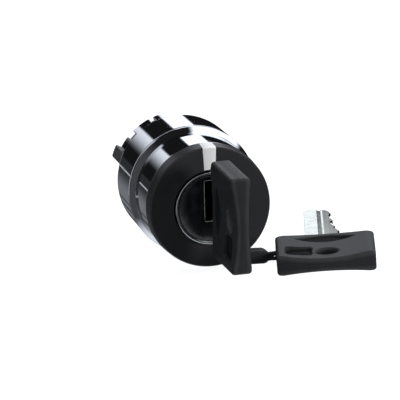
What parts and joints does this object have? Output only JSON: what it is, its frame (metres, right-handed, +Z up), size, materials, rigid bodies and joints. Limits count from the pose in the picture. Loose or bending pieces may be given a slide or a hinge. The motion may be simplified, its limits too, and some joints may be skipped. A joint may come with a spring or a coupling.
{
  "type": "key switch head",
  "caption": "Key-operated rotary battery switch head: chromed bezel and clamp ring, black index ring with white marker, wafer lock, key and joined spare key.",
  "frame": {"origin": "on the switch axis at the rear face of the panel gasket, where the front face of the panel lies", "axes": "+Z up, +Y along the switch axis through the panel towards the rear, the key and the marker face -Y, +X to the right seen from the front"},
  "size_m": [0.0464, 0.0694, 0.029],
  "materials": {
    "chrome_plate": "polished chrome plate",
    "zinc_cast": "as-cast zinc alloy, satin grey",
    "black_plastic": "satin moulded black",
    "bow_plastic": "fine-grained moulded black",
    "white_plastic": "satin white insert",
    "lock_chrome": "polished trim",
    "dark_face": "polished black nickel",
    "brass": "machined",
    "nickel": "nickel plated, milled",
    "steel": "zinc-plated steel",
    "nylon": "natural nylon",
    "rubber": "nitrile rubber"
  },
  "bodies": {
    "housing": {"bezel": "chrome_plate", "body_sleeve": "zinc_cast", "panel_gasket": "rubber", "clamp_ring": "chrome_plate", "rear_collar": "zinc_cast", "collar_screw_top": "steel", "collar_screw_bottom": "steel", "detent_ball_left": "steel", "detent_ball_right": "steel", "detent_spring_left": "steel", "detent_spring_right": "steel", "stop_pin": "steel", "guide_plate": "black_plastic"},
    "rotor": {"index_ring": "black_plastic", "index_marker": "white_plastic", "lock_trim_ring": "lock_chrome", "lock_face_cap": "dark_face", "lock_plug": "brass", "wafer_1": "brass", "wafer_2": "brass", "wafer_3": "brass", "wafer_4": "brass", "wafer_5": "brass", "wafer_spring_1": "steel", "wafer_spring_2": "steel", "wafer_spring_3": "steel", "wafer_spring_4": "steel", "wafer_spring_5": "steel", "rotor_seal": "rubber", "retaining_clip": "steel", "cam": "nylon", "cam_washer": "steel", "cam_screw": "steel"},
    "pusher_left": {"pusher_left": "nylon", "pusher_spring_left": "steel"},
    "pusher_right": {"pusher_right": "nylon", "pusher_spring_right": "steel"},
    "key": {"key_blade": "nickel", "key_bow": "bow_plastic", "key_link": "bow_plastic"},
    "spare_key": {"spare_key_blade": "nickel", "spare_key_bow": "bow_plastic", "link_neck": "bow_plastic"}
  },
  "joints": [
    {"name": "rotor_turn", "type": "hinge", "parent": "housing", "child": "rotor", "pos_m": [0, 0, 0], "axis": [0, 1, 0], "range_deg": [-45, 45]},
    {"name": "key_withdraw", "type": "slide", "parent": "rotor", "child": "key", "axis": [0, -1, 0], "range_m": [0, 0.0205]},
    {"name": "link_flex", "type": "hinge", "parent": "key", "child": "spare_key", "pos_m": [0.00775, -0.03354, -0.00693], "axis": [0, 0, 1], "range_deg": [-25, 8], "stiffness_Nm_per_rad": 0.02},
    {"name": "pusher_left_slide", "type": "slide", "parent": "housing", "child": "pusher_left", "axis": [0, 1, 0], "range_m": [-0.002, 0.002]},
    {"name": "pusher_right_slide", "type": "slide", "parent": "housing", "child": "pusher_right", "axis": [0, 1, 0], "range_m": [-0.002, 0.002]}
  ],
  "couplings": [
    {"joint": "pusher_right_slide", "follows": "rotor_turn", "m_per_rad": 0.0025464},
    {"joint": "pusher_left_slide", "follows": "rotor_turn", "m_per_rad": -0.0025464}
  ]
}
